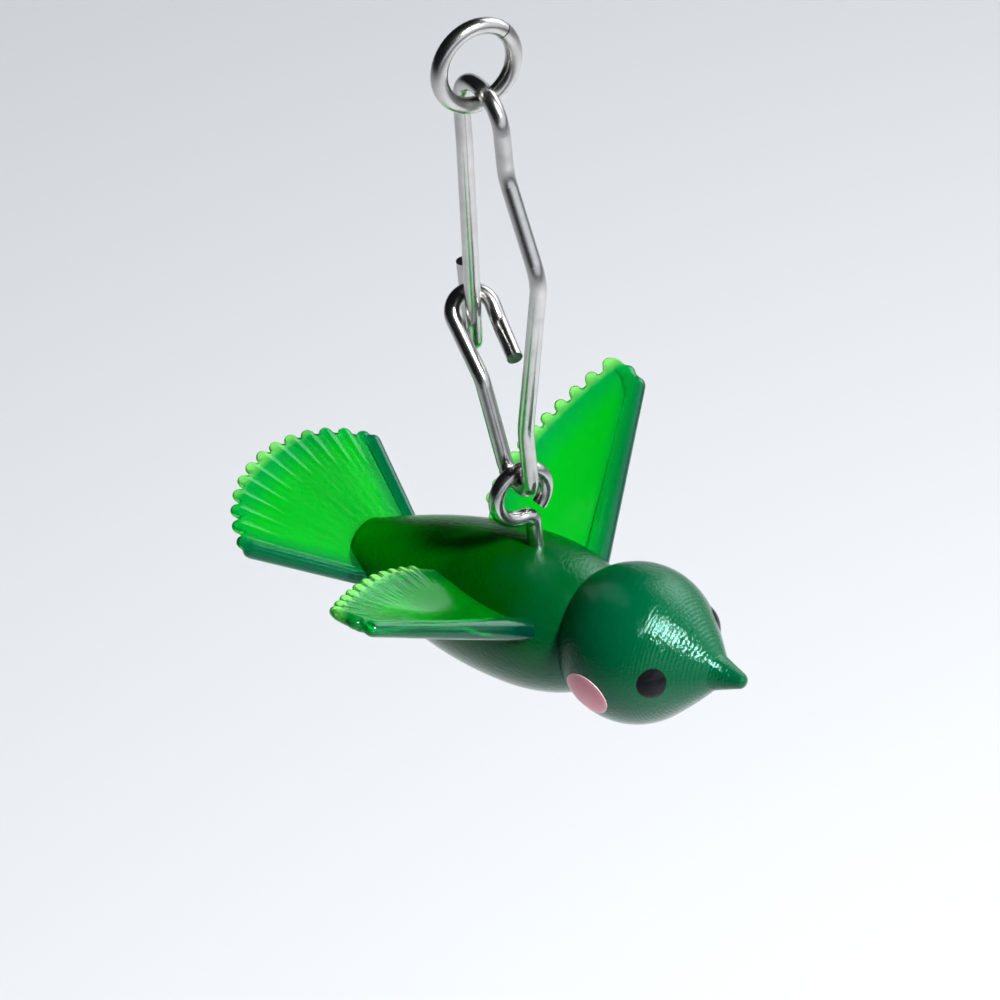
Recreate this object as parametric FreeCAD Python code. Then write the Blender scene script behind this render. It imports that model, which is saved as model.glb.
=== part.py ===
"""A resin bird charm hung by an eye pin from a one-piece wire snap and a jump ring.

Frame: millimetres, +Z up. The origin is the inside top of the jump ring, the point that the whole
charm hangs from. The bird faces +X, so its left is +Y, and everything hangs plumb under the origin.
"""
import FreeCAD, Part
import math
import os

from FreeCAD import Placement, Rotation, Vector

# ---- driving dimensions, mm and degrees -------------------------------------------------------

# jump ring
RING_BORE = 3.2
RING_WIRE = 0.8
RING_SPLIT = 0.06          # width of the saw cut that closes when the ring is pressed shut
RING_SPLIT_AT = 40.0       # where the cut is, up from the ring's side

# snap: one bent spring wire
SNAP_WIRE = 0.8
SNAP_DROP = 22.8           # between the centrelines of its top and bottom bends
SNAP_YAW = -23.0           # its plane, about +Z from the bird's heading
BOTTOM_HALF = 1.12         # half the width of the bottom bend
TOP_HALF = 1.75            # half the width of the top bend
SHOULDER_OUT = 3.9
SHOULDER_UP = 14.0
NECK_UP = 18.8             # where the near leg has come back in under the top bend
NEAR_LEG_UP = 3.9          # the near leg is plumb up to here
KNEE_OUT = 2.74
KNEE_UP = 4.8
CROSSING = (-4.59, 0.90, 7.10)   # where the two hooks pass through each other: out, across, up
HOOK_PLAY = 0.27           # free space round the wire inside each hook

# eye pin
PIN_WIRE = 0.8
LOOP_RADIUS = 1.4          # centreline
LOOP_END = 48.0            # how far below the loop's side its wire ends
PIN_NECK = 0.55            # radius of the bend between shank and loop
PIN_STAND = 1.3            # straight shank showing above the back
PIN_DEPTH = 2.8

LINK_GAP = 0.05            # between wires that hang in each other

# torso, about its own axis
TORSO_RADIUS = 3.88
TORSO_AFT = 10.5           # from the thickest section to the end of the rump
TORSO_FORE = 6.0
RUMP_RADIUS = 1.75
RUMP_ROUND = 0.75

# head
HEAD_RADIUS = 4.0
NECK_LAP = 0.925 * HEAD_RADIUS   # how far the head's ball reaches into the front of the torso
HEAD_RAISE = 0.3
FACE_ANGLE = 48.0          # from the beak's axis to where the round head starts to taper
BEAK_BASE_RADIUS = 0.92
BEAK_BASE_OUT = 0.7        # ahead of the round head
BEAK_LENGTH = 1.65
BEAK_NOSE = 0.34           # length of the rounded tip
BEAK_NOSE_RADIUS = 0.42
FACE_RUN = 0.37            # how far the round face carries on before it hollows, of the head
NECK_PEG_RADIUS = 1.3
NECK_PEG_LENGTH = 1.2

# eyes and cheeks: where they face, from the head's centre
EYE_BEAD_RADIUS = 0.375 * HEAD_RADIUS
EYE_PROUD = 0.17                 # how far the bead stands out of the head
EYE_AROUND = 44.0
EYE_UP = 7.0
CHEEK_RADIUS = 0.3125 * HEAD_RADIUS
CHEEK_DEPTH = 0.1 * HEAD_RADIUS
CHEEK_CROWN = 0.03
CHEEK_GROOVE = 0.1
CHEEK_GROOVE_DEPTH = 0.16
CHEEK_AROUND = 97.5
CHEEK_UP = -11.0

# wings
WING_LENGTH = 10.8
WING_CHORD = 6.85
WING_THICKNESS = 0.6
WING_TIP_ROUND = 1.3
WING_TIP_BACK = 2.2              # from the leading edge back to the first feather's tip
WING_BACK_AT = 0.23              # where the last feather ends, of the wing's length
TRAILING_FULL_OUT = 0.60         # how full the trailing edge is, of the length and of the chord
TRAILING_FULL_BACK = 0.92
WING_FEATHERS = 11
FEATHER_BULGE = 0.18
WING_ROOT_AHEAD = 2.3            # leading edge where it meets the side of the torso
WING_ROOT_UP = 1.7
WING_RISE = 28.5
WING_SWEEP = 18.8
WING_LET_IN = 1.5                # how far the root goes into the torso
WING_PITCH = 0.4

# tail
TAIL_LENGTH = 12.5
TAIL_CORNER = 10.8
TAIL_HALF_ANGLE = 30.5
TAIL_THICKNESS = 0.75
TAIL_FEATHERS = 13
TAIL_RISE = 24.0
TAIL_APEX_IN = 5.2               # from the end of the rump to where the feathers meet
TAIL_APEX_DROP = 1.5
TAIL_LET_IN = 2.2                # from the apex to where the fan starts inside the torso

# kg/m3, for the balance that places the eye pin
RESIN_DENSITY = 1100.0
STEEL_DENSITY = 7850.0

# ---- worked out from them ---------------------------------------------------------------------

top_bend_z = -RING_BORE + SNAP_WIRE / 2 + LINK_GAP
bottom_bend_z = top_bend_z - SNAP_DROP
loop_top_z = bottom_bend_z + (SNAP_WIRE + PIN_WIRE) / 2 + LINK_GAP
loop_centre_z = loop_top_z - LOOP_RADIUS
plant_z = loop_centre_z - LOOP_RADIUS - PIN_NECK - PIN_STAND
hook_bend = SNAP_WIRE + HOOK_PLAY
snap_turn = Rotation(Vector(0, 0, 1), SNAP_YAW)
out = snap_turn.multVec(Vector(1, 0, 0))       # along the snap's plane, towards its near leg
across = snap_turn.multVec(Vector(0, 1, 0))    # square to it: the plane of the loop and the ring


# ---- helpers ----------------------------------------------------------------------------------

def rounded_path(corners, radii):
    """A wire through the corners, each inner one rounded by a tangent arc."""
    edges = []
    last = corners[0]
    for before, corner, after, radius in zip(corners, corners[1:], corners[2:], radii):
        back = (before - corner).normalize()
        ahead = (after - corner).normalize()
        half_turn = (math.pi - back.getAngle(ahead)) / 2
        reach = radius * math.tan(half_turn)
        start = corner + back * reach
        end = corner + ahead * reach
        centre_way = (back + ahead).normalize()
        middle = corner + centre_way * (radius / math.cos(half_turn) - radius)
        edges.append(Part.makeLine(last, start))
        edges.append(Part.Arc(start, middle, end).toShape())
        last = end
    edges.append(Part.makeLine(last, corners[-1]))
    return Part.Wire(edges)


def tube(path, diameter):
    """Round wire along a path."""
    first = path.Edges[0]
    start = first.valueAt(first.FirstParameter)
    section = Part.Wire(Part.makeCircle(diameter / 2, start, first.tangentAt(first.FirstParameter)))
    return path.makePipeShell([section], True, False)


def bezier(*poles):
    curve = Part.BezierCurve()
    curve.setPoles([Vector(*pole) for pole in poles])
    return curve.toShape()


def revolved(edges):
    """The solid that a profile in the XZ plane makes about the X axis."""
    first = edges[0].valueAt(edges[0].FirstParameter)
    last = edges[-1].valueAt(edges[-1].LastParameter)
    face = Part.Face(Part.Wire(edges + [Part.makeLine(last, first)]))
    return face.revolve(Vector(0, 0, 0), Vector(1, 0, 0), 360)


def facing(around, up):
    """The direction at an angle round from the beak towards the left, and up."""
    level = math.cos(math.radians(up))
    a = math.radians(around)
    return Vector(level * math.cos(a), level * math.sin(a), math.sin(math.radians(up)))


def mirrored(shape):
    return shape.mirror(Vector(0, 0, 0), Vector(0, 1, 0))


def scalloped(start, control, end, feathers, bulge):
    """Feather tips: arcs that bulge out of a curved edge, from start to end."""
    edge = bezier(start, control, end)
    span = edge.LastParameter - edge.FirstParameter
    tips = [edge.valueAt(edge.FirstParameter + span * i / feathers) for i in range(feathers + 1)]
    arcs = []
    for a, b in zip(tips, tips[1:]):
        outward = (b - a).cross(Vector(0, 0, 1)).normalize()
        arcs.append(Part.Arc(a, (a + b) * 0.5 + outward * bulge, b).toShape())
    return arcs


def plate(edges, thickness):
    """A flat plate of an outline in the XY plane, half its thickness each side."""
    face = Part.Face(Part.Wire(edges))
    face.translate(Vector(0, 0, -thickness / 2))
    return face.extrude(Vector(0, 0, thickness))


def one_solid(name, shape):
    """The shape's only solid: a sub-part that falls into pieces is a mistake."""
    assert len(shape.Solids) == 1 and shape.isValid(), f"{name}: {len(shape.Solids)} solids"
    return shape.Solids[0]


# ---- wire parts -------------------------------------------------------------------------------

def make_jump_ring():
    centre = Vector(0, 0, -RING_BORE / 2)
    ring = Part.makeTorus((RING_BORE + RING_WIRE) / 2, RING_WIRE / 2, centre, out)
    reach = RING_BORE + 2 * RING_WIRE
    cut = Part.makeBox(reach, RING_SPLIT, 2 * RING_WIRE, Vector(0, -RING_SPLIT / 2, -RING_WIRE))
    cut.rotate(Vector(0, 0, 0), Vector(1, 0, 0), 90)
    cut.rotate(Vector(0, 0, 0), Vector(0, 1, 0), -RING_SPLIT_AT)
    cut.Placement = Placement(centre, Rotation(Vector(0, 0, 1), SNAP_YAW + 90)).multiply(cut.Placement)
    return ring.cut(cut)


def make_snap():
    """Free hook, knee, bottom bend, near leg, shoulder, top bend, far leg and catch hook."""

    def at(out_by, across_by, up):
        return out * out_by + across * across_by + Vector(0, 0, bottom_bend_z + up)

    def hook(out_by, across_by, up):
        """A corner of a hook, in bend radii from where the hooks cross."""
        x, y, z = CROSSING
        return at(x + out_by * hook_bend, y + across_by * hook_bend, z + up * hook_bend)

    corners = [
        (hook(2.80, 0.37, -0.95), None),                 # cut end of the free hook
        (hook(0.79, 0.87, -0.35), 0.9 * hook_bend),
        (hook(-0.57, 1.02, 1.09), hook_bend),
        (hook(-1.05, -0.84, 0.61), hook_bend),
        (at(-KNEE_OUT, 0, KNEE_UP), 2 * SNAP_WIRE),
        (at(-BOTTOM_HALF, 0, 0), 1.3 * SNAP_WIRE),
        (at(BOTTOM_HALF, 0, 0), 1.3 * SNAP_WIRE),
        (at(BOTTOM_HALF, 0, NEAR_LEG_UP), 5 * SNAP_WIRE),
        (at(SHOULDER_OUT, 0, SHOULDER_UP), 3 * SNAP_WIRE),
        (at(TOP_HALF, 0, NECK_UP), 3 * SNAP_WIRE),
        (at(TOP_HALF, 0, SNAP_DROP), 0.95 * TOP_HALF),
        (at(-TOP_HALF, 0, SNAP_DROP), 0.95 * TOP_HALF),
        (at(-TOP_HALF - 0.2, 0, NECK_UP), 3 * SNAP_WIRE),
        (hook(0, 0, 0), 3 * SNAP_WIRE),
        (hook(-0.54, 0.19, -2.05), 0.75 * hook_bend),
        (hook(-2.03, 0.89, -2.05), 0.75 * hook_bend),
        (hook(-1.98, 0.86, 1.59), None),                 # cut end of the catch hook
    ]
    points = [corner for corner, _ in corners]
    return tube(rounded_path(points, [radius for _, radius in corners[1:-1]]), SNAP_WIRE)


def make_eye_pin():
    """Shank, neck bend and open loop, with the top of the loop over x = y = 0."""

    def at(across_by, up):
        return across * across_by + Vector(0, 0, up)

    neck_z = plant_z + PIN_STAND
    neck_low = at(PIN_NECK, neck_z)
    neck_mid = at(PIN_NECK * math.sin(math.pi / 4), neck_z + PIN_NECK * math.sin(math.pi / 4))
    loop_low = at(0, neck_z + PIN_NECK)
    end = math.radians(-LOOP_END)
    loop_mid_angle = (end + math.radians(270)) / 2
    loop_mid = at(LOOP_RADIUS * math.cos(loop_mid_angle),
                  loop_centre_z + LOOP_RADIUS * math.sin(loop_mid_angle))
    loop_end = at(LOOP_RADIUS * math.cos(end), loop_centre_z + LOOP_RADIUS * math.sin(end))
    path = Part.Wire([
        Part.makeLine(at(PIN_NECK, plant_z - PIN_DEPTH), neck_low),
        Part.Arc(neck_low, neck_mid, loop_low).toShape(),
        Part.Arc(loop_low, loop_mid, loop_end).toShape(),
    ])
    return tube(path, PIN_WIRE)


# ---- castings, about the torso's axis ---------------------------------------------------------

def make_torso():
    rump_x = -TORSO_AFT + RUMP_ROUND
    return revolved([
        bezier((-TORSO_AFT, 0, 0), (-TORSO_AFT, 0, 0.65 * RUMP_RADIUS),
               (-TORSO_AFT, 0, 0.93 * RUMP_RADIUS), (rump_x, 0, RUMP_RADIUS)),
        bezier((rump_x, 0, RUMP_RADIUS), (0.7 * rump_x, 0, 0.73 * TORSO_RADIUS),
               (0.4 * rump_x, 0, TORSO_RADIUS), (0, 0, TORSO_RADIUS)),
        bezier((0, 0, TORSO_RADIUS), (0.55 * TORSO_FORE, 0, TORSO_RADIUS),
               (TORSO_FORE, 0, 0.6 * TORSO_RADIUS), (TORSO_FORE, 0, 0)),
    ])


def make_head():
    face = math.radians(FACE_ANGLE)
    cheek_x = HEAD_RADIUS * math.cos(face)
    cheek_r = HEAD_RADIUS * math.sin(face)
    run = FACE_RUN * HEAD_RADIUS
    base_x = HEAD_RADIUS + BEAK_BASE_OUT
    beak_x = base_x + BEAK_LENGTH
    back_mid = HEAD_RADIUS * math.sin(math.pi / 4)
    nose_x = beak_x - BEAK_NOSE
    nose_r = BEAK_NOSE_RADIUS
    nose_round = (nose_r ** 2 + BEAK_NOSE ** 2) / (2 * BEAK_NOSE)
    nose_mid = nose_round * math.sin(math.asin(nose_r / nose_round) / 2)
    nose_mid_x = beak_x - nose_round + math.sqrt(nose_round ** 2 - nose_mid ** 2)
    head = revolved([
        Part.Arc(Vector(-HEAD_RADIUS, 0, 0), Vector(-back_mid, 0, back_mid),
                 Vector(cheek_x, 0, cheek_r)).toShape(),
        bezier((cheek_x, 0, cheek_r), (cheek_x + run * math.sin(face), 0, cheek_r - run * math.cos(face)),
               (0.93 * base_x, 0, 1.4 * BEAK_BASE_RADIUS), (base_x, 0, BEAK_BASE_RADIUS)),
        Part.makeLine(Vector(base_x, 0, BEAK_BASE_RADIUS), Vector(nose_x, 0, nose_r)),
        Part.Arc(Vector(nose_x, 0, nose_r), Vector(nose_mid_x, 0, nose_mid),
                 Vector(beak_x, 0, 0)).toShape(),
    ])
    peg_reach = HEAD_RADIUS + NECK_PEG_LENGTH
    peg = Part.makeCylinder(NECK_PEG_RADIUS, peg_reach, Vector(0, 0, 0), Vector(-1, 0, 0))
    head = head.fuse(peg)
    head.translate(head_centre)
    return head.removeSplitter()


def make_eye():
    way = facing(EYE_AROUND, EYE_UP)
    bead_out = HEAD_RADIUS + EYE_PROUD - EYE_BEAD_RADIUS
    return Part.makeSphere(EYE_BEAD_RADIUS, head_centre + way * bead_out, way)


def cheek_plug(radius, depth, crown):
    """A round plug through the head's skin, its face following the head."""
    way = facing(CHEEK_AROUND, CHEEK_UP)
    rod = Part.makeCylinder(radius, HEAD_RADIUS, head_centre + way * (HEAD_RADIUS / 2), way)
    shell = Part.makeSphere(HEAD_RADIUS + crown, head_centre)
    core = Part.makeSphere(HEAD_RADIUS - depth, head_centre)
    return rod.common(shell).cut(core)


def make_left_wing():
    """The left wing: leading edge along X and the feathers to +Y of it, then set on the torso."""
    tip = WING_LENGTH - WING_TIP_ROUND
    first = (WING_LENGTH, WING_TIP_BACK, 0)
    last = (WING_BACK_AT * WING_LENGTH, WING_CHORD, 0)
    root_front = Vector(-WING_LET_IN, 0, 0)
    root_back = Vector(WING_BACK_AT * WING_LENGTH - WING_LET_IN, WING_CHORD, 0)
    control = (TRAILING_FULL_OUT * WING_LENGTH, TRAILING_FULL_BACK * WING_CHORD, 0)
    feathers = scalloped(first, control, last, WING_FEATHERS, -FEATHER_BULGE)
    outline = [
        Part.makeLine(root_front, Vector(tip, 0, 0)),
        bezier((tip, 0, 0), (WING_LENGTH, 0, 0), first),
        *feathers,
        Part.makeLine(Vector(*last), root_back),
        Part.makeLine(root_back, root_front),
    ]
    wing = plate(outline, WING_THICKNESS)
    wing.rotate(Vector(0, 0, 0), Vector(1, 0, 0), WING_PITCH)
    wing.rotate(Vector(0, 0, 0), Vector(0, 1, 0), -WING_RISE)
    wing.rotate(Vector(0, 0, 0), Vector(0, 0, 1), 90 + WING_SWEEP)
    root_out = math.sqrt(TORSO_RADIUS ** 2 - WING_ROOT_UP ** 2)
    wing.translate(Vector(WING_ROOT_AHEAD, root_out, WING_ROOT_UP))
    return wing


def make_tail():
    """A fan of feathers along +X from its apex, then turned aft and raised."""
    half = math.radians(TAIL_HALF_ANGLE)

    def corner(radius, side):
        return Vector(radius * math.cos(half), side * radius * math.sin(half), 0)

    bow = (2 * TAIL_LENGTH - TAIL_CORNER * math.cos(half), 0, 0)
    right = corner(TAIL_CORNER, -1)
    left = corner(TAIL_CORNER, 1)
    outline = [
        Part.makeLine(corner(TAIL_LET_IN, -1), right),
        *scalloped(tuple(right), bow, tuple(left), TAIL_FEATHERS, FEATHER_BULGE),
        Part.makeLine(left, corner(TAIL_LET_IN, 1)),
        Part.makeLine(corner(TAIL_LET_IN, 1), corner(TAIL_LET_IN, -1)),
    ]
    tail = plate(outline, TAIL_THICKNESS)
    tail.rotate(Vector(0, 0, 0), Vector(0, 1, 0), -TAIL_RISE)
    tail.rotate(Vector(0, 0, 0), Vector(0, 0, 1), 180)
    tail.translate(Vector(TAIL_APEX_IN - TORSO_AFT, 0, -TAIL_APEX_DROP))
    return tail


# ---- assembly ---------------------------------------------------------------------------------

head_centre = Vector(TORSO_FORE + HEAD_RADIUS - NECK_LAP, 0, HEAD_RAISE)

head = make_head()
left_wing = make_left_wing()
right_wing = mirrored(left_wing)
tail_fan = make_tail()
left_eye = make_eye()
right_eye = mirrored(left_eye)
left_cheek = cheek_plug(CHEEK_RADIUS, CHEEK_DEPTH, CHEEK_CROWN)
right_cheek = mirrored(left_cheek)
cheek_groove = cheek_plug(CHEEK_RADIUS + CHEEK_GROOVE, CHEEK_GROOVE_DEPTH, CHEEK_CROWN + CHEEK_GROOVE)

torso = make_torso()
for let_in in (head, left_wing, right_wing, tail_fan):
    torso = torso.cut(let_in)
for inlay in (left_eye, right_eye, left_cheek, right_cheek, cheek_groove, mirrored(cheek_groove)):
    head = head.cut(inlay)

castings = {
    "torso": torso, "head": head, "left_wing": left_wing, "right_wing": right_wing,
    "tail_fan": tail_fan, "left_eye": left_eye, "right_eye": right_eye,
    "left_cheek": left_cheek, "right_cheek": right_cheek,
}
castings = {name: one_solid(name, shape) for name, shape in castings.items()}
eye_pin = one_solid("eye_pin", make_eye_pin())

# The charm hangs level because its centre of mass is under the top of the loop. The pin's shank
# stands beside that line, so the resin is moved until the whole of it balances.
shank_hole = math.pi * PIN_WIRE ** 2 / 4 * PIN_DEPTH
resin_volume = sum(shape.Volume for shape in castings.values())
resin_moment = Vector(0, 0, 0)
for shape in castings.values():
    resin_moment += shape.CenterOfMass * shape.Volume
shank_at = across * PIN_NECK
pin_moment = eye_pin.CenterOfMass * eye_pin.Volume * STEEL_DENSITY - shank_at * shank_hole * RESIN_DENSITY
resin_centre = resin_moment * (1 / resin_volume)
bird_at = -resin_centre - pin_moment * (1 / (resin_volume * RESIN_DENSITY))
bird_at.z = plant_z - math.sqrt(TORSO_RADIUS ** 2 - (shank_at.y - bird_at.y) ** 2)

for shape in castings.values():
    shape.translate(bird_at)
castings["torso"] = one_solid("torso", castings["torso"].cut(eye_pin))

nodes = {
    **castings,
    "eye_pin": eye_pin,
    "snap": make_snap(),
    "jump_ring": make_jump_ring(),
}
os.makedirs("parts", exist_ok=True)
for name, shape in nodes.items():
    one_solid(name, shape).exportStep(f"parts/{name}.step")
    print(f"{name:12s} {shape.Volume:8.2f} mm3")

mass = resin_volume * RESIN_DENSITY - shank_hole * RESIN_DENSITY + eye_pin.Volume * STEEL_DENSITY
centre = sum((s.CenterOfMass * s.Volume for s in castings.values()), Vector(0, 0, 0)) * RESIN_DENSITY
centre = (centre + eye_pin.CenterOfMass * eye_pin.Volume * STEEL_DENSITY) * (1 / mass)
print(f"bird at {bird_at}, its centre of mass {centre}, {mass * 1e-6:.3f} g")
print(f"snap bends at z {top_bend_z:.2f} and {bottom_bend_z:.2f}, loop top {loop_top_z:.2f}, plant {plant_z:.2f}")
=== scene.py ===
# %% [markdown]
# # A green resin bird charm on its snap
#
# The charm is three things that hang in each other: a jump ring, a snap bent from one steel wire,
# and a bird cast in clear green resin with a wire eye planted in its back. The wires, eyes and
# cheeks come from the frame as they are and only get a finish. The castings are modelled here,
# because feathers and rounded edges are what a plain solid lacks.

# %% Load the frame and keep its box
import math

import bmesh
import bpy
from mathutils import Matrix, Vector


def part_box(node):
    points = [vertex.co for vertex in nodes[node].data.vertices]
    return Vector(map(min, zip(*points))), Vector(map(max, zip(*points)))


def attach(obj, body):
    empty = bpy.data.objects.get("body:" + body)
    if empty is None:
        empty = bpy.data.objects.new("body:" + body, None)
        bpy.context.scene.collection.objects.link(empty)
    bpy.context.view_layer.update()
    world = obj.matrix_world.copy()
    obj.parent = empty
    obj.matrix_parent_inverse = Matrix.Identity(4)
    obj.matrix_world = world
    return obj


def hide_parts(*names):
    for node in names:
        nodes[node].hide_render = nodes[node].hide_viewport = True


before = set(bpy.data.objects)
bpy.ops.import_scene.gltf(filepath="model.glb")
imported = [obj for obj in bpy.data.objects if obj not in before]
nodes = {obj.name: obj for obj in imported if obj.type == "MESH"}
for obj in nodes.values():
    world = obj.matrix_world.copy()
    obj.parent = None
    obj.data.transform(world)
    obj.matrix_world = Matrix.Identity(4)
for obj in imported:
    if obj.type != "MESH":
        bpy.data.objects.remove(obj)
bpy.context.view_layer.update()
MM = 0.001
print("nodes:", ", ".join(sorted(nodes)))

# %% [markdown]
# ## Where the bird is
#
# Blender works in metres here, and the bird is 30 mm long, so a size is written as a number times
# MM and a place as mm(). The torso is a body of revolution whose box gives its radius and its axis.
# Its thickest section is the place that the head, wings and tail are measured from.

# %% The bird's own middle
TORSO_AFT = 10.5 * MM
TORSO_FORE = 6.0 * MM


def mm(x, y, z=0.0):
    """A place given in millimetres."""
    return Vector((x, y, z)) * MM


torso_low, torso_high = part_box("torso")
torso_radius = (torso_high.y - torso_low.y) / 2
bird = Vector((torso_low.x + TORSO_AFT, (torso_low.y + torso_high.y) / 2,
               torso_low.z + torso_radius))

BEAK_AHEAD = 6.35 * MM
HEAD_RADIUS = 4.0 * MM
head_low, head_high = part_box("head")
head_centre = Vector((head_high.x - BEAK_AHEAD, bird.y, (head_low.z + head_high.z) / 2))
print("bird", bird, "head", head_centre)

# %% [markdown]
# ## Helpers for edit mode
#
# An operator acts on everything that is selected, so a piece is started from a clean selection.
# Inside edit mode, vertices are picked in code by where they are, the way a box select picks them
# by hand.

# %% Selecting
HAIR = 1e-7


def deselect():
    bpy.ops.object.select_all(action="DESELECT")


def only(piece):
    deselect()
    piece.select_set(True)
    bpy.context.view_layer.objects.active = piece


def pick(piece, test):
    """Select the vertices of the mesh in edit mode that pass a test of their place."""
    mesh = bmesh.from_edit_mesh(piece.data)
    for vertex in mesh.verts:
        vertex.select_set(test(vertex.co))
    mesh.select_flush_mode()
    bmesh.update_edit_mesh(piece.data)


def named(name):
    piece = bpy.context.object
    piece.name = name
    piece.data.name = name
    return piece


# %% [markdown]
# ## Modifiers and placing
#
# A modifier is applied as soon as it is set, so the piece is plain mesh at the end. Placing works
# the same way: the piece is turned and moved as an object, and then its place is written into its
# mesh.


# %% Applying
def modified(piece, kind, **settings):
    only(piece)
    modifier = piece.modifiers.new(kind.title(), kind)
    for key, value in settings.items():
        setattr(modifier, key, value)
    bpy.ops.object.modifier_apply(modifier=modifier.name)


def placed(piece, matrix):
    only(piece)
    piece.matrix_world = matrix
    bpy.ops.object.transform_apply(location=True, rotation=True, scale=True)
    return piece


def joined(pieces, name):
    deselect()
    for piece in pieces:
        piece.select_set(True)
    bpy.context.view_layer.objects.active = pieces[0]
    bpy.ops.object.join()
    return named(name)


def smooth(piece):
    only(piece)
    bpy.ops.object.shade_smooth_by_angle(angle=math.pi)
    print(f"{piece.name}: {len(piece.data.polygons)} faces")
    return piece


# %% [markdown]
# ## Turning a round body
#
# The torso and the head are round about the bird's long axis. A lathe would do it, and so would
# Spin on a half profile. Extruding a ring from station to station gives the same skin with even
# rings, and it starts from a plain circle: each step is extruded, moved along, and resized.

# %% Rings from station to station
RING_POINTS = 96


def turned(name, stations):
    """A closed skin through rings given as (distance along X, radius)."""
    deselect()
    first_x, first_r = stations[0]
    bpy.ops.mesh.primitive_circle_add(vertices=RING_POINTS, radius=first_r,
                                      location=(first_x, 0, 0), rotation=(0, math.radians(90), 0))
    piece = named(name)
    bpy.ops.object.transform_apply(location=True, rotation=True, scale=True)
    bpy.ops.object.mode_set(mode="EDIT")
    bpy.ops.mesh.select_all(action="SELECT")
    for (x0, r0), (x1, r1) in zip(stations, stations[1:]):
        bpy.ops.mesh.extrude_region_move(TRANSFORM_OT_translate={"value": (x1 - x0, 0, 0)})
        share = r1 / r0
        bpy.ops.transform.resize(value=(1, share, share), center_override=(x1, 0, 0))
    for x in (stations[0][0], stations[-1][0]):
        pick(piece, lambda co: abs(co.x - x) < HAIR)
        bpy.ops.mesh.merge(type="CENTER")
    bpy.ops.mesh.select_all(action="SELECT")
    bpy.ops.mesh.normals_make_consistent(inside=False)
    bpy.ops.object.mode_set(mode="OBJECT")
    return piece


def bezier(a, b, c, d, steps):
    """Points along a cubic curve, without its last one."""
    points = []
    for i in range(steps):
        t = i / steps
        k = 1 - t
        weights = (k ** 3, 3 * k * k * t, 3 * k * t * t, t ** 3)
        points.append(tuple(sum(w * p[axis] for w, p in zip(weights, (a, b, c, d)))
                            for axis in (0, 1)))
    return points


# %% [markdown]
# ## Torso
#
# The torso swells from a small blunt rump to its thickest section and rounds off inside the neck.
# Its profile is three curves: the rump's dome, the long back, and the shoulder. Each is a cubic
# whose two handles are written as shares of the lengths that they depend on.

# %% Torso
RUMP_RADIUS = 1.75 * MM
RUMP_ROUND = 0.75 * MM
TINY = 0.02 * MM
RUMP_HANDLES = (0.65, 0.93)
BACK_HANDLES = ((0.7, 0.73), (0.4, 1.0))
SHOULDER_HANDLES = ((0.55, 1.0), (1.0, 0.6))


def make_torso():
    rump_x = -TORSO_AFT + RUMP_ROUND
    rump = [(-TORSO_AFT, share * RUMP_RADIUS) for share in RUMP_HANDLES]
    back = [(x * rump_x, r * torso_radius) for x, r in BACK_HANDLES]
    shoulder = [(x * TORSO_FORE, r * torso_radius) for x, r in SHOULDER_HANDLES]
    stations = [
        *bezier((-TORSO_AFT, TINY), *rump, (rump_x, RUMP_RADIUS), 14),
        *bezier((rump_x, RUMP_RADIUS), *back, (0, torso_radius), 30),
        *bezier((0, torso_radius), *shoulder, (TORSO_FORE, TINY), 24),
        (TORSO_FORE, TINY),
    ]
    piece = turned("torso_casting", stations)
    placed(piece, Matrix.Translation(bird))
    return smooth(piece)


torso = make_torso()

# %% [markdown]
# ## Head
#
# The head is a ball that runs out into a short beak. It is turned like the torso: an arc of the
# ball, a curve down the face, a slim cone, and a rounded nose.

# %% Head
FACE_ANGLE = math.radians(48)
BEAK_BASE_AHEAD = 4.7 * MM
BEAK_BASE_RADIUS = 0.92 * MM
BEAK_NOSE = 0.34 * MM
BEAK_NOSE_RADIUS = 0.42 * MM
FACE_RUN = 0.37 * HEAD_RADIUS
BEAK_FLARE = (0.93 * BEAK_BASE_AHEAD, 1.4 * BEAK_BASE_RADIUS)
NAPE_ANGLE = math.radians(179)
NOSE_END = 0.05


def ball_arc(radius, start, end, steps):
    """Stations on a ball between two angles from its front."""
    angles = [start + (end - start) * i / steps for i in range(steps)]
    return [(radius * math.cos(a), radius * math.sin(a)) for a in angles]


def make_head():
    cheek = (HEAD_RADIUS * math.cos(FACE_ANGLE), HEAD_RADIUS * math.sin(FACE_ANGLE))
    face = (cheek[0] + FACE_RUN * math.sin(FACE_ANGLE), cheek[1] - FACE_RUN * math.cos(FACE_ANGLE))
    nose_x = BEAK_AHEAD - BEAK_NOSE
    nose_round = (BEAK_NOSE_RADIUS ** 2 + BEAK_NOSE ** 2) / (2 * BEAK_NOSE)
    nose_angle = math.asin(BEAK_NOSE_RADIUS / nose_round)
    nose_arc = ball_arc(nose_round, nose_angle, NOSE_END, 8)
    stations = [
        *ball_arc(HEAD_RADIUS, NAPE_ANGLE, FACE_ANGLE, 52),
        *bezier(cheek, face, BEAK_FLARE, (BEAK_BASE_AHEAD, BEAK_BASE_RADIUS), 26),
        (BEAK_BASE_AHEAD, BEAK_BASE_RADIUS),
        ((BEAK_BASE_AHEAD + nose_x) / 2, (BEAK_BASE_RADIUS + BEAK_NOSE_RADIUS) / 2),
        *[(BEAK_AHEAD - nose_round + x, r) for x, r in nose_arc],
        (BEAK_AHEAD, TINY),
    ]
    piece = turned("head_casting", stations)
    placed(piece, Matrix.Translation(head_centre))
    return smooth(piece)


head = make_head()

# %% [markdown]
# ## A feather
#
# Every rib and nub is a flat blade with a round end. It starts as a ball: the half that will be the
# root is pulled away and made narrower, which leaves a tapered capsule, and the whole is then
# pressed flat. The flat of a wing is a slab, drawn by pulling a filled circle to an outline. Slab
# and blades are then cast: joined, remeshed into one skin and softened, as resin fills a mould.

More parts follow.
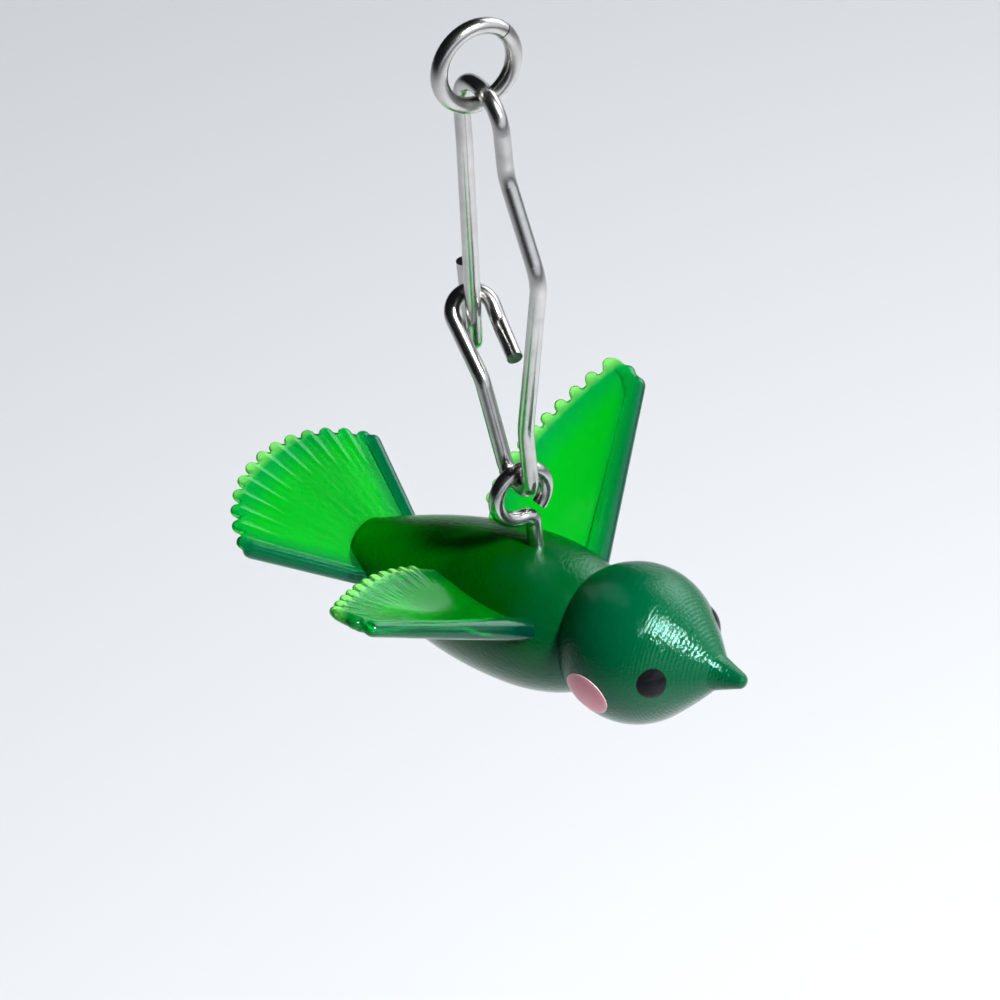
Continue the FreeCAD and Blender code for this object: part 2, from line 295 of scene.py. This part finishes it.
# %% Blade, slab and casting
VOXEL = 0.06 * MM
SOFTENING_ROUNDS = 9


def blade(start, end, root_width, tip_width, thickness):
    """A tapered capsule in the XY plane, from its root's place to its tip."""
    """A tapered capsule in the XY plane, from its root's place to its tip."""
    reach = end - start
    length = reach.length - tip_width / 2
    deselect()
    bpy.ops.mesh.primitive_uv_sphere_add(segments=24, ring_count=16, radius=tip_width / 2)
    piece = bpy.context.object
    bpy.ops.object.mode_set(mode="EDIT")
    pick(piece, lambda co: co.x < -HAIR)
    bpy.ops.transform.resize(value=(root_width / tip_width,) * 3, center_override=(0, 0, 0))
    bpy.ops.transform.translate(value=(-length, 0, 0))
    bpy.ops.mesh.select_all(action="SELECT")
    bpy.ops.transform.resize(value=(1, 1, thickness / tip_width), center_override=(0, 0, 0))
    bpy.ops.object.mode_set(mode="OBJECT")
    turn = Matrix.Rotation(math.atan2(reach.y, reach.x), 4, "Z")
    return placed(piece, Matrix.Translation(start) @ turn @ Matrix.Translation((length, 0, 0)))


def slab(outline, thickness):
    """A flat plate in the XY plane: a filled circle pulled to an outline, then extruded."""
    deselect()
    bpy.ops.mesh.primitive_circle_add(vertices=len(outline), radius=MM, fill_type="NGON")
    piece = bpy.context.object
    bpy.ops.object.mode_set(mode="EDIT")
    mesh = bmesh.from_edit_mesh(piece.data)
    for vertex, place in zip(mesh.verts, outline):
        vertex.co = place
    bmesh.update_edit_mesh(piece.data)
    bpy.ops.mesh.select_all(action="SELECT")
    bpy.ops.transform.translate(value=(0, 0, -thickness / 2))
    bpy.ops.mesh.extrude_region_move(TRANSFORM_OT_translate={"value": (0, 0, thickness)})
    bpy.ops.mesh.select_all(action="SELECT")
    bpy.ops.mesh.normals_make_consistent(inside=False)
    bpy.ops.object.mode_set(mode="OBJECT")
    return piece


def cast(pieces, name):
    """Join loose shapes into one skin, as resin would, and soften it."""
    piece = joined(pieces, name)
    modified(piece, "REMESH", mode="VOXEL", voxel_size=VOXEL)
    modified(piece, "SMOOTH", factor=0.5, iterations=SOFTENING_ROUNDS)
    return piece


# %% [markdown]
# ## Wings
#
# A wing is one thin slab with a thick rounded leading edge, a blunt tip, and a row of nubs along
# its trailing edge where the feathers end. It is dished a little, which gives it a broad soft sheen.
# It is built flat, with its leading edge along X, then set on the left side, and the right wing is
# its mirror image.

# %% Left wing
WING_TIP = mm(10.8, 2.2)
WING_BEND = mm(6.5, 6.3)
WING_BACK = mm(2.48, 6.85)
WING_RISE = math.radians(28.5)
WING_SWEEP = math.radians(18.8)
WING_PITCH = math.radians(0.4)
WING_ROOT = mm(2.3, 3.49, 1.7)
WING_SETTING = (Matrix.Translation(bird + WING_ROOT)
                @ Matrix.Rotation(math.radians(90) + WING_SWEEP, 4, "Z")
                @ Matrix.Rotation(-WING_RISE, 4, "Y")
                @ Matrix.Rotation(WING_PITCH, 4, "X"))

WING_SLAB = 0.46 * MM
WING_FRONT = [mm(x, 0.25) for x in (-0.6, 3, 6, 9.3)]
WING_CORNER = [mm(9.9, 0.45), mm(10.3, 0.95), mm(10.45, 1.5)]
WING_INNER = mm(-0.6, 6.3)
FRINGE_STEPS = 14
FRINGE_INSET = mm(0.3, 0.35)


def trailing(t):
    """A place on the wing's trailing edge, from its tip to its back."""
    return (1 - t) ** 2 * WING_TIP + 2 * (1 - t) * t * WING_BEND + t * t * WING_BACK


fringe = [trailing(i / FRINGE_STEPS) - FRINGE_INSET for i in range(FRINGE_STEPS + 1)]
wing_outline = WING_FRONT + WING_CORNER + fringe + [WING_INNER]
print("wing outline:", len(wing_outline), "places")

# %% [markdown]
# ## Edge, tip and nubs
#
# Three blades make the wing's thick edge and turn it round the tip. Each is written as its root,
# its tip, the widths there and its thickness, in millimetres. The nubs all point away from one place
# near the shoulder, as feathers do. The dish is pressed in last, when the wing is one skin.

# %% Edge, nubs and dish
WING_EDGE_BLADES = (
    ((-0.6, 0.55), (9.9, 0.5), 1.4, 1.0, 0.84),
    ((8.8, 0.5), (10.45, 1.3), 1.0, 0.9, 0.70),
    ((9.8, 0.9), (10.7, 2.1), 0.8, 0.6, 0.60),
)
WING_NUBS = 11
WING_NUB_SIZES = (0.5 * MM, 0.72 * MM, 0.6 * MM)
WING_NUB_SHARE = 0.42
WING_NUB_SOURCE = mm(2.2, 0.2)
DISH_CENTRE = mm(5.2, 3.0)
DISH_REACH = mm(6.0, 3.0)
DISH_DEPTH = 0.4 * MM


def dished(piece):
    """Press a smooth hollow into a flat piece, deepest at the dish's centre."""
    only(piece)
    bpy.ops.object.mode_set(mode="EDIT")
    mesh = bmesh.from_edit_mesh(piece.data)
    for vertex in mesh.verts:
        across = (vertex.co.x - DISH_CENTRE.x) / DISH_REACH.x
        along = (vertex.co.y - DISH_CENTRE.y) / DISH_REACH.y
        away = Vector((across, along)).length
        if away < 1:
            vertex.co.z -= DISH_DEPTH * (1 - away * away) ** 2
    bmesh.update_edit_mesh(piece.data)
    bpy.ops.object.mode_set(mode="OBJECT")


def make_left_wing():
    shapes = [slab(wing_outline, WING_SLAB)]
    for root, tip, *sizes in WING_EDGE_BLADES:
        shapes.append(blade(mm(*root), mm(*tip), *(size * MM for size in sizes)))
    for i in range(WING_NUBS):
        tip = trailing(i / (WING_NUBS - 1))
        root = tip.lerp(WING_NUB_SOURCE, WING_NUB_SHARE)
        shapes.append(blade(root, tip, *WING_NUB_SIZES))
    wing = cast(shapes, "left_wing_casting")
    dished(wing)
    placed(wing, WING_SETTING)
    return smooth(wing)


def mirrored(piece, name):
    """A copy on the other side of the bird's middle plane, with its faces turned outwards."""
    only(piece)
    bpy.ops.object.duplicate()
    copy = named(name)
    placed(copy, Matrix.Translation((0, 2 * bird.y, 0)) @ Matrix.Scale(-1, 4, (0, 1, 0)))
    bpy.ops.object.mode_set(mode="EDIT")
    bpy.ops.mesh.select_all(action="SELECT")
    bpy.ops.mesh.normals_make_consistent(inside=False)
    bpy.ops.object.mode_set(mode="OBJECT")
    return smooth(copy)


left_wing = make_left_wing()
right_wing = mirrored(left_wing, "right_wing_casting")

# %% [markdown]
# ## Tail fan
#
# The tail is a thin fan-shaped slab from one point inside the rump. Long low ribs run out over it,
# and each ends in a small nub past the slab's rim. Its two straight sides are thick round rails.

# %% Tail fan
TAIL_HALF_ANGLE = math.radians(30.5)
TAIL_LENGTH = 12.5 * MM
TAIL_CORNER = 10.8 * MM
TAIL_START = 3.4 * MM
TAIL_RISE = math.radians(24)
TAIL_APEX = mm(-5.3, 0, -1.5)
TAIL_SLAB = 0.55 * MM
TAIL_RIM_INSET = 0.45 * MM
TAIL_RIM_STEPS = 12
TAIL_RIBS = 13
TAIL_RIB_START = 0.5
TAIL_RIB_SIZES = (0.6 * MM, 0.78 * MM, 0.62 * MM)
TAIL_RAIL_SHARE = 0.985
TAIL_RAIL_INSET = 0.2 * MM
TAIL_RAIL_START = 0.33
TAIL_RAIL_SIZES = (0.7 * MM, 0.85 * MM, 0.95 * MM)


def fanned(share, short):
    """A place on the tail's rim, from its right corner at -1 to its left at 1."""
    angle = share * TAIL_HALF_ANGLE
    reach = TAIL_LENGTH + (TAIL_CORNER - TAIL_LENGTH) * share ** 2 - short
    return Vector((math.cos(angle), math.sin(angle), 0)) * reach


def make_tail():
    rim = [fanned(i / TAIL_RIM_STEPS - 1, TAIL_RIM_INSET) for i in range(2 * TAIL_RIM_STEPS + 1)]
    root = [fanned(side, TAIL_CORNER - TAIL_START) for side in (1, -1)]
    shapes = [slab(rim + root, TAIL_SLAB)]
    for i in range(TAIL_RIBS):
        tip = fanned(2 * (i + 0.5) / TAIL_RIBS - 1, 0)
        shapes.append(blade(tip * TAIL_RIB_START, tip, *TAIL_RIB_SIZES))
    for side in (-1, 1):
        rail = fanned(side * TAIL_RAIL_SHARE, TAIL_RAIL_INSET)
        shapes.append(blade(rail * TAIL_RAIL_START, rail, *TAIL_RAIL_SIZES))
    tail = cast(shapes, "tail_casting")
    setting = (Matrix.Translation(bird + TAIL_APEX)
               @ Matrix.Rotation(math.pi, 4, "Z")
               @ Matrix.Rotation(-TAIL_RISE, 4, "Y"))
    placed(tail, setting)
    return smooth(tail)


tail = make_tail()

# %% [markdown]
# ## Shader arithmetic
#
# A pattern is a sum of simple fields, and it reads best as a formula. Shade wraps one socket, and
# + - * / on it add the Math nodes. Every other node comes from Finish.node, which sets the node up
# first and then fills its sockets with numbers or links.


# %% Shade and Finish
class Shade:
    """A socket that can be used in arithmetic."""

    def __init__(self, finish, socket):
        self.finish = finish
        self.socket = socket

    def math(self, operation, *others):
        inputs = {i: value for i, value in enumerate((self, *others))}
        return self.finish.node("ShaderNodeMath", {"operation": operation}, inputs)

    def clamped(self):
        return self.finish.node("ShaderNodeClamp", {}, {"Value": self})

    def __add__(self, other):
        return self.math("ADD", other)

    def __mul__(self, other):
        return self.math("MULTIPLY", other)

    def __sub__(self, other):
        return self.math("SUBTRACT", other)

    def __rsub__(self, other):
        return self.finish.node("ShaderNodeMath", {"operation": "SUBTRACT"}, {0: other, 1: self})

    def __truediv__(self, other):
        return self.math("DIVIDE", other)

    def __pow__(self, other):
        return self.math("POWER", other)


class Finish:
    """A material with one Principled surface, built up from nodes."""

    def __init__(self, name, **constants):
        self.material = bpy.data.materials.new(name)
        self.material.use_nodes = True
        self.tree = self.material.node_tree
        self.surface = self.tree.nodes["Principled BSDF"]
        for key, value in constants.items():
            self.surface.inputs[key.replace("_", " ")].default_value = value
        self.place = self.node("ShaderNodeTexCoord", {}, {}, "Object")

    def node(self, kind, settings, inputs, output=0):
        made = self.tree.nodes.new(kind)
        for key, value in settings.items():
            setattr(made, key, value)
        for key, value in inputs.items():
            self.fill(made.inputs[key], value)
        return Shade(self, made.outputs[output])

    def fill(self, socket, value):
        if isinstance(value, Shade):
            self.tree.links.new(value.socket, socket)
        else:
            socket.default_value = value

    def set(self, **links):
        for key, value in links.items():
            self.fill(self.surface.inputs[key.replace("_", " ")], value)

    def noise(self, per_mm, detail=2.0, roughness=0.5):
        inputs = {"Vector": self.place, "Scale": per_mm / MM, "Detail": detail,
                  "Roughness": roughness}
        return self.node("ShaderNodeTexNoise", {}, inputs, "Fac")

    def axes(self):
        """The place in metres, as three numbers."""
        split = self.node("ShaderNodeSeparateXYZ", {}, {"Vector": self.place})
        return [Shade(self, split.socket.node.outputs[i]) for i in range(3)]

    def mix(self, share, first, second):
        """Between two colours, by a share."""
        inputs = {"Factor": share, 6: first, 7: second}
        return self.node("ShaderNodeMix", {"data_type": "RGBA"}, inputs, 2)

    def bump(self, height, depth):
        """A normal from a height of 0 to 1 times a depth in metres."""
        inputs = {"Height": height, "Strength": 1.0, "Distance": depth}
        return self.node("ShaderNodeBump", {}, inputs, "Normal")

    def on(self, *pieces):
        for piece in pieces:
            piece.data.materials.clear()
            piece.data.materials.append(self.material)
        print(f"{self.material.name}: {len(self.tree.nodes)} nodes")


# %% [markdown]
# ## Clear green resin
#
# The resin is clear and only tinted: thin feathers glow, and the thick head is nearly black-green.
# Paint can't do that. The surface lets light through, and an absorption volume inside it takes out
# red and blue first, and green a little with every millimetre. The tint of the sheen keeps a
# highlight greenish, as a layer of clear resin over a green depth does.

# %% Resin
GREEN_LEFT = (0.0, 0.93, 0.30, 1.0)
SHEEN_TINT = (0.55, 1.0, 0.88, 1.0)


def resin(name, clear, absorbed_per_metre, **constants):
    """Clear resin whose volume takes out red and blue."""
    finish = Finish(name, IOR=1.5, Transmission_Weight=clear, Specular_Tint=SHEEN_TINT, **constants)
    volume = finish.node("ShaderNodeVolumeAbsorption", {},
                         {"Color": GREEN_LEFT, "Density": absorbed_per_metre}, "Volume")
    output = finish.tree.nodes["Material Output"]
    finish.tree.links.new(volume.socket, output.inputs["Volume"])
    return finish


# %% [markdown]
# ## Thick castings
#
# The torso and the head share one finish. Towards the rump a brighter green is painted, a painted
# glow of light shining through its thin end, and towards the breast teal is painted, a painted sheen
# of the lit side that a random cloud breaks up. The skin keeps the mould's fine grain, and the
# forehead keeps the rings of its print layers, which are a sine along the bird's axis.

# %% Thick castings
LAYER_PITCH = 0.155 * MM
DEEP_GREEN = (0.0, 0.105, 0.001, 1.0)
# Painted sheen: teal for the sheen on the lit side of the breast.
SHEEN_TEAL_GREEN = (0.0, 0.13, 0.045, 1.0)
# Painted glow: a brighter green for light that shines through the thin rump.
RUMP_GLOW_GREEN = (0.0, 0.50, 0.0, 1.0)


def thick_resin():
    finish = resin("deep_green_resin", clear=0.45, absorbed_per_metre=5500.0,
                   Specular_IOR_Level=0.36)
    x = finish.axes()[0]
    cloud = finish.noise(0.45)
    grain = finish.noise(5.5, 3.0, 0.6)
    layers = (x * (math.tau / LAYER_PITCH)).math("SINE") * 0.5 + 0.5
    forehead = ((x - (head_centre.x + 0.8 * MM)) / (1.5 * MM)).clamped()
    # Painted glow: the rump is painted a brighter green, for light shining through its thin end.
    rump = ((bird.x - 3.0 * MM - x) / (6 * MM)).clamped()
    # Painted sheen: teal is painted towards the breast for the sheen of its lit side, broken up at
    # random by the cloud.
    teal = ((x - bird.x) / (7 * MM) + cloud - 0.35).clamped()
    finish.set(
        Base_Color=finish.mix(rump, finish.mix(teal, DEEP_GREEN, SHEEN_TEAL_GREEN), RUMP_GLOW_GREEN),
        Roughness=grain * 0.10 + 0.04,
        Normal=finish.bump(grain + layers * (forehead * 0.22 + 0.02), 0.036 * MM),
    )
    return finish


thick_resin().on(torso, head)

# %% [markdown]
# ## Thin castings
#
# Wings and tail are clearer. Towards the rim, which is an arc about a centre, they are painted teal
# as painted shade of the edge, and right at the rim they are painted pale, a painted glow of light
# through the thin nubs. Along the thick straight edge a darker teal is painted, as painted shade.
# The distance to the bird's middle plane is taken without its sign, so one finish serves both wings.

# %% Thin castings
LEAF_GREEN = (0.0, 0.66, 0.02, 1.0)
# Painted shade: teal for the darker band towards the rim.
RIM_SHADE_TEAL = (0.0, 0.34, 0.17, 1.0)
# Painted shade: a darker teal for the thick straight edge.
RAIL_SHADE_TEAL = (0.0, 0.16, 0.10, 1.0)
# Painted glow: pale for light shining through the thin nubs at the rim.
PALE_TIP_GLOW = (0.42, 0.95, 0.26, 1.0)
RIM_WIDTH = 0.6 * MM
NEAR_RIM = 2.2


def thin_resin(name, centre, radius, rail, inward, rail_width):
    """Resin painted teal, then pale, towards a round rim about a centre, and darker at its straight
    edge: painted shade and glow.
    """
    finish = resin(name, clear=0.85, absorbed_per_metre=1000.0)
    x, y, z = finish.axes()
    side = (y - bird.y).math("ABSOLUTE")
    squares = (x - centre.x) ** 2 + (side - abs(centre.y - bird.y)) ** 2 + (z - centre.z) ** 2
    out = (squares.math("SQRT") - (radius - 1.5 * RIM_WIDTH)) / RIM_WIDTH
    cloud = finish.noise(0.5)
    grain = finish.noise(4.0)
    # Painted shade: teal is painted in towards the rim.
    near_rim = (out + NEAR_RIM) / NEAR_RIM
    from_rail = (x - rail.x) * inward.x + (side - rail.y) * inward.y + (z - rail.z) * inward.z
    # Painted shade: a darker teal is painted along the thick straight edge.
    rail_shade = (1.0 - from_rail / rail_width).clamped()
    shade = finish.mix(near_rim.clamped() * 0.45, LEAF_GREEN, RIM_SHADE_TEAL)
    # Painted glow: the rim is painted pale, for light shining through the thin nubs.
    finish.set(
        Base_Color=finish.mix(rail_shade, finish.mix(out.clamped(), shade, PALE_TIP_GLOW), RAIL_SHADE_TEAL),
        Roughness=cloud * 0.1 + 0.10,
        Normal=finish.bump(grain * 0.6 + cloud * 0.4, 0.012 * MM),
    )
    return finish


wing_root = bird + WING_ROOT
thin_resin("wing_resin",
           centre=WING_SETTING @ mm(-0.58, -8.39),
           radius=15.55 * MM,
           rail=Vector((wing_root.x, WING_ROOT.y, wing_root.z)),
           inward=WING_SETTING.to_3x3() @ Vector((0, 1, 0)),
           rail_width=1.5 * MM).on(left_wing, right_wing)

tail_apex = bird + TAIL_APEX
slope = math.sin(TAIL_HALF_ANGLE)
thin_resin("tail_resin",
           centre=tail_apex,
           radius=TAIL_LENGTH,
           rail=Vector((tail_apex.x, 0, tail_apex.z)),
           inward=Vector((-slope * math.cos(TAIL_RISE), -math.cos(TAIL_HALF_ANGLE),
                          slope * math.sin(TAIL_RISE))),
           rail_width=1.3 * MM).on(tail)

# %% [markdown]
# ## Eyes, cheeks and wire
#
# The eyes are glossy black beads. The cheeks are pink inlays, paler towards their rim, where the
# paint thins out. The wire is polished steel with faint drawing marks.

# %% Bead, inlay and steel
CHEEK_AROUND = math.radians(97.5)
CHEEK_UP = math.radians(-11)
CHEEK_RADIUS = 1.25 * MM
CHEEK_RIM_FROM = 0.7


def black_bead():
    finish = Finish("black_bead", IOR=1.5, Specular_IOR_Level=0.1)
    cloud = finish.noise(2.0)
    finish.set(
        Base_Color=finish.mix(cloud, (0.002, 0.002, 0.003, 1), (0.012, 0.012, 0.014, 1)),
        Roughness=cloud * 0.1 + 0.03,
        Normal=finish.bump(finish.noise(6.0), 0.004 * MM),
    )
    return finish


def pink_inlay():
    finish = Finish("pink_inlay", IOR=1.5)
    level = math.cos(CHEEK_UP)
    way = Vector((level * math.cos(CHEEK_AROUND), level * math.sin(CHEEK_AROUND),
                  math.sin(CHEEK_UP)))
    middle = head_centre + way * HEAD_RADIUS
    x, y, z = finish.axes()
    side = (y - bird.y).math("ABSOLUTE")
    squares = (x - middle.x) ** 2 + (side - (middle.y - bird.y)) ** 2 + (z - middle.z) ** 2
    out = squares.math("SQRT") / CHEEK_RADIUS
    rim = ((out - CHEEK_RIM_FROM) / 0.3).clamped()
    cloud = finish.noise(3.0)
    flesh = finish.mix(cloud, (0.80, 0.24, 0.31, 1), (0.86, 0.31, 0.38, 1))
    finish.set(
        Base_Color=finish.mix(rim * rim * 0.6, flesh, (0.90, 0.60, 0.62, 1)),
        Roughness=cloud * 0.15 + 0.28,
        Normal=finish.bump(finish.noise(9.0), 0.006 * MM),
    )
    return finish


def polished_steel():
    finish = Finish("polished_steel", Metallic=1.0)
    cloud = finish.noise(1.2, 3.0)
    marks = finish.noise(14.0)
    finish.set(
        Base_Color=finish.mix(cloud, (0.36, 0.35, 0.34, 1), (0.62, 0.61, 0.60, 1)),
        Roughness=marks * 0.16 + 0.14,
        Normal=finish.bump(marks * 0.6 + cloud * 0.4, 0.006 * MM),
    )
    return finish


black_bead().on(nodes["left_eye"], nodes["right_eye"])
pink_inlay().on(nodes["left_cheek"], nodes["right_cheek"])
polished_steel().on(nodes["eye_pin"], nodes["snap"], nodes["jump_ring"])

# %% [markdown]
# ## What moves with what
#
# The castings ride on the bird, and each stands for its plain solid.

# %% Riding
for piece, node, slot in (
    (torso, "torso", "green_resin"),
    (head, "head", "green_resin"),
    (left_wing, "left_wing", "thin_resin"),
    (right_wing, "right_wing", "thin_resin"),
    (tail, "tail_fan", "thin_resin"),
):
    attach(piece, "bird")
    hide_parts(node)

# %% [markdown]
# ## Floor
#
# Clear resin shows what is round it, so the surroundings matter as much as the finish. A pale floor
# far below makes the feathers glow. It is part of the stage and not of the charm.

# %% Floor
FLOOR_BELOW = 140 * MM
FLOOR_SIZE = 4.0
deselect()
bpy.ops.mesh.primitive_plane_add(size=FLOOR_SIZE, location=(0, 0, torso_low.z - FLOOR_BELOW))
floor = named("floor")
paper = Finish("pale_paper")
paper.set(Base_Color=(0.80, 0.82, 0.85, 1), Roughness=0.9)
paper.on(floor)

# %% [markdown]
# ## Camera
#
# The camera looks down on the bird's right side with a long lens, as for jewellery, and leans a
# little. Three directions describe it: towards it, to its right, and up its picture. It aims just
# beside the snap's bottom bend, where the eye pin hangs.

# %% Camera
AZIMUTH = math.radians(39)
ELEVATION = math.radians(36.7)
LEAN = math.radians(6.1)
LENS_MM = 180
FILM_MM = 36
VIEW_WIDTH = 48.5 * MM
BEND_UNDER_PIN_TOP = 1.25 * MM
AIM_LEFT_MM = 0.97
AIM_DOWN_MM = 0.73

towards = Vector((math.sin(AZIMUTH) * math.cos(ELEVATION),
                  -math.cos(AZIMUTH) * math.cos(ELEVATION),
                  math.sin(ELEVATION)))
level_right = Vector((math.cos(AZIMUTH), math.sin(AZIMUTH), 0))
level_up = towards.cross(level_right)
right = level_right * math.cos(LEAN) - level_up * math.sin(LEAN)
up = level_up * math.cos(LEAN) + level_right * math.sin(LEAN)

_, pin_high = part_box("eye_pin")
bend = Vector((0, 0, pin_high.z - BEND_UNDER_PIN_TOP))
aim = bend - right * AIM_LEFT_MM * MM - up * AIM_DOWN_MM * MM
camera_data = bpy.data.cameras.new("camera")
camera_data.lens = LENS_MM
camera_data.sensor_width = FILM_MM
camera_data.clip_start = 1 * MM
camera = bpy.data.objects.new("camera", camera_data)
bpy.context.scene.collection.objects.link(camera)
turn = Matrix((right, up, towards)).transposed().to_4x4()
camera.matrix_world = Matrix.Translation(aim + towards * VIEW_WIDTH * LENS_MM / FILM_MM) @ turn
bpy.context.scene.camera = camera
print("camera at", camera.matrix_world.translation)

# %% [markdown]
# ## Lights
#
# One small soft window draws the highlight on the forehead, and a screen to the side gives the
# wings their broad sheen. A wide lamp under the bird faces the floor and evens it out. An area light
# shines one way only, so the bird gets that one by way of the floor.


# %% Soft lights
def softbox(name, way, distance, size, power):
    """An area light that faces the bird. Lengths are in metres."""
    light = bpy.data.lights.new(name, "AREA")
    light.size = size
    light.energy = power
    lamp = bpy.data.objects.new(name, light)
    bpy.context.scene.collection.objects.link(lamp)
    lamp.matrix_world = Matrix.Translation(bird + way.normalized() * distance) @ way.to_track_quat(
        "Z", "Y").to_matrix().to_4x4()
    print(f"{name}: {power} W")
    return lamp


softbox("window", right * 0.52 + up * 0.35 + towards * 0.78, distance=0.35, size=0.06, power=2.5)
softbox("side_screen", right * 0.60 + up * 0.80 - towards * 0.10,
        distance=0.30, size=0.20, power=0.34)
floor_lamp = softbox("floor_lamp", Vector((0, 0, -1)), distance=0.06, size=1.4, power=1.45)
floor_lamp.rotation_euler = (0, 0, 0)

# %% [markdown]
# ## Sky
#
# The world is the rest of the studio. It is bright behind, and dark in front and overhead, which
# keeps the thick castings deep. The colour depends on how far a direction points towards the dark
# side.

# %% Sky
BRIGHT_SKY = (0.98, 1.05, 1.12, 1)
DARK_SKY = (0.010, 0.013, 0.014, 1)
DARK_FROM = 0.20
DARK_SIDE = (towards * 0.5 - right * 0.6 + up * 0.62).normalized()


def make_sky():
    """A bright backdrop behind and below that fades to a dark room in front and overhead."""
    world = bpy.data.worlds.new("studio")
    bpy.context.scene.world = world
    world.use_nodes = True
    tree = world.node_tree
    place = tree.nodes.new("ShaderNodeTexCoord")
    facing = tree.nodes.new("ShaderNodeVectorMath")
    facing.operation = "DOT_PRODUCT"
    facing.inputs[1].default_value = DARK_SIDE
    ramp = tree.nodes.new("ShaderNodeValToRGB")
    ramp.color_ramp.elements[0].color = BRIGHT_SKY
    ramp.color_ramp.elements[1].color = DARK_SKY
    ramp.color_ramp.elements[1].position = DARK_FROM
    tree.links.new(place.outputs["Generated"], facing.inputs[0])
    tree.links.new(facing.outputs["Value"], ramp.inputs["Fac"])
    tree.links.new(ramp.outputs["Color"], tree.nodes["Background"].inputs["Color"])
    print("dark side of the sky:", DARK_SIDE)


make_sky()
bpy.context.scene.view_settings.view_transform = "Standard"
